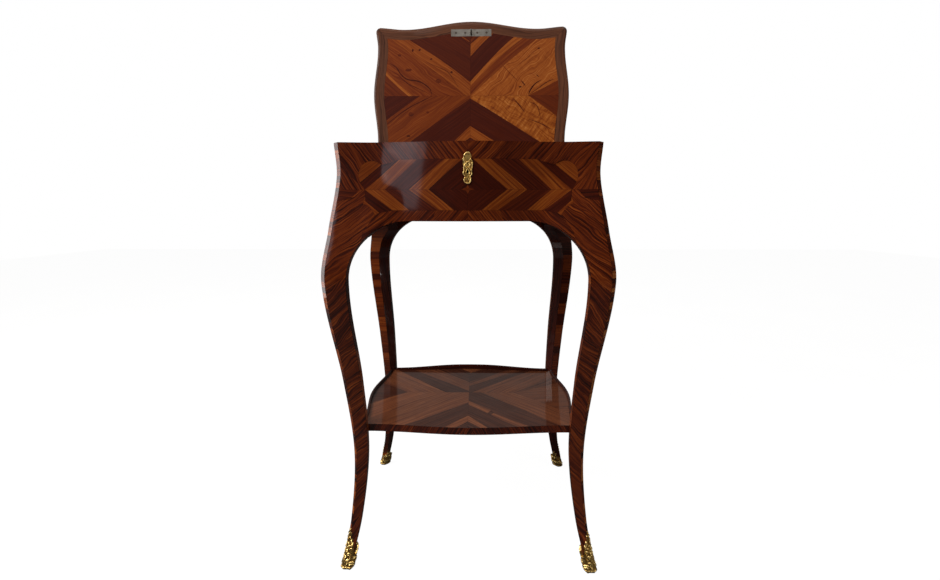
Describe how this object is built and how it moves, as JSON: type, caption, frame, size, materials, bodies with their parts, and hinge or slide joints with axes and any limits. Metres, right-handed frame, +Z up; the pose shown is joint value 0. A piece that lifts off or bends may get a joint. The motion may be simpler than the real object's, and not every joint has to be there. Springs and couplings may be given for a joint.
{
  "type": "chiffonier table",
  "caption": "Small serpentine work table on swept cabriole legs with a hinged lid over a locking well, an open shelf between the legs, banded veneer and gilt feet.",
  "frame": {"origin": "on the floor, midway between the four feet", "axes": "+Z up, +Y to the back where the lid is hinged, front and keyhole to -Y, +X to the viewer's right"},
  "size_m": [0.461, 0.3818, 1.0164],
  "materials": {
    "kingwood": "red-brown diagonal veneer under french polish",
    "dark_wood": "dark straight-grained border and mouldings, polished",
    "light_veneer": "geometric panels of orange-brown and dark veneer, polished",
    "oak": "plain unpolished ground wood",
    "gilt_bronze": "chased and gilded bronze",
    "brass": "plain brass",
    "steel": "worn grey steel"
  },
  "bodies": {
    "table": {"leg_front_left": "kingwood", "leg_front_right": "kingwood", "leg_rear_left": "kingwood", "leg_rear_right": "kingwood", "rail_front": "kingwood", "rail_rear": "kingwood", "rail_left": "kingwood", "rail_right": "kingwood", "case_floor": "oak", "floor_bearers": "oak", "shelf_board": "oak", "shelf_veneer": "light_veneer", "shelf_rim_back": "dark_wood", "shelf_rim_left": "dark_wood", "shelf_rim_right": "dark_wood", "shelf_dowels": "oak", "hinge_leaf_left": "brass", "hinge_leaf_right": "brass", "hinge_pin_left": "steel", "hinge_pin_right": "steel", "hinge_screws": "steel", "lock_top_plate": "brass", "lock_case": "brass", "lock_cover": "brass", "lock_spring": "steel", "lock_key_post": "steel", "lock_screws": "steel", "keyhole_escutcheon": "gilt_bronze", "escutcheon_pins": "gilt_bronze", "sabot_front_left": "gilt_bronze", "sabot_front_right": "gilt_bronze", "sabot_rear_left": "gilt_bronze", "sabot_rear_right": "gilt_bronze", "sabot_pins": "gilt_bronze"},
    "lid": {"lid_core": "oak", "lid_inner_veneer": "light_veneer", "lid_outer_veneer": "kingwood", "lid_edge_front": "dark_wood", "lid_edge_back": "dark_wood", "lid_edge_left": "dark_wood", "lid_edge_right": "dark_wood", "hinge_lid_leaf_left": "brass", "hinge_lid_leaf_right": "brass", "hinge_lid_screws": "steel", "strike_plate": "steel", "strike_screws": "steel"},
    "bolt": {"lock_bolt": "steel"}
  },
  "joints": [
    {"name": "lid_hinge", "type": "hinge", "parent": "table", "child": "lid", "pos_m": [0, 0.1454, 0.7202], "axis": [1, 0, 0], "range_deg": [0, 100]},
    {"name": "bolt_slide", "type": "slide", "parent": "table", "child": "bolt", "axis": [1, 0, 0], "range_m": [0, 0.007]}
  ]
}
